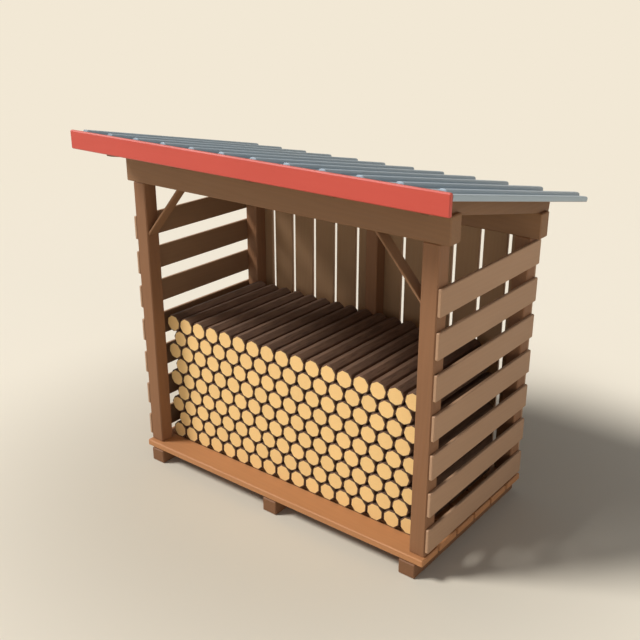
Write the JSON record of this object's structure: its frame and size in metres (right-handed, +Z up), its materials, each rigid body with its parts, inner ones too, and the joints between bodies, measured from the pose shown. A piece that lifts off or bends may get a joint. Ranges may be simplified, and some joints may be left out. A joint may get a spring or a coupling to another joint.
{
  "type": "log store",
  "caption": "Open-fronted timber log store with slatted sides, boarded back, sloping ribbed steel roof, red fascia and a nested stack of split logs on a raised deck.",
  "frame": {"origin": "point on the ground under the middle of the frame, on the underside of the middle bearer", "axes": "+X along the open front, to the right of a person facing it; +Y from the open front towards the boarded back; +Z up"},
  "size_m": [2.332, 1.407, 2.0329],
  "materials": {
    "frame_timber": "brown stained sawn timber, matt",
    "deck_timber": "warm red-brown stained boards, matt",
    "slat_timber": "brown stained planed slats, matt",
    "back_timber": "brown stained boards, matt",
    "roof_boarding": "stained plywood sheet, matt",
    "roof_steel": "blue-grey coated steel, satin",
    "red_paint": "red painted board, satin",
    "split_log": "dark bark on the sides, pale sawn ends"
  },
  "bodies": {
    "root": {"back_boards_left": "back_timber", "back_boards_right": "back_timber", "beam_front": "frame_timber", "beam_rear": "frame_timber", "bearer_left": "frame_timber", "bearer_middle": "frame_timber", "bearer_right": "frame_timber", "brace_left": "frame_timber", "brace_right": "frame_timber", "deck_board_1": "deck_timber", "deck_board_2": "deck_timber", "deck_board_3": "deck_timber", "deck_board_4": "deck_timber", "deck_board_5": "deck_timber", "deck_board_6": "deck_timber", "eaves_trim": "roof_steel", "fascia": "red_paint", "log_row_1": "split_log", "log_row_2": "split_log", "log_row_3": "split_log", "log_row_4": "split_log", "log_row_5": "split_log", "log_row_6": "split_log", "log_row_7": "split_log", "log_row_8": "split_log", "log_row_9": "split_log", "post_front_left": "frame_timber", "post_front_right": "frame_timber", "post_rear_left": "frame_timber", "post_rear_middle": "frame_timber", "post_rear_right": "frame_timber", "rafter_1": "frame_timber", "rafter_2": "frame_timber", "rafter_3": "frame_timber", "rafter_4": "frame_timber", "rafter_5": "frame_timber", "roof_deck": "roof_boarding", "roof_sheet": "roof_steel", "side_slats_left": "slat_timber", "side_slats_right": "slat_timber", "verge_trim_left": "roof_steel", "verge_trim_right": "roof_steel"}
  },
  "joints": []
}
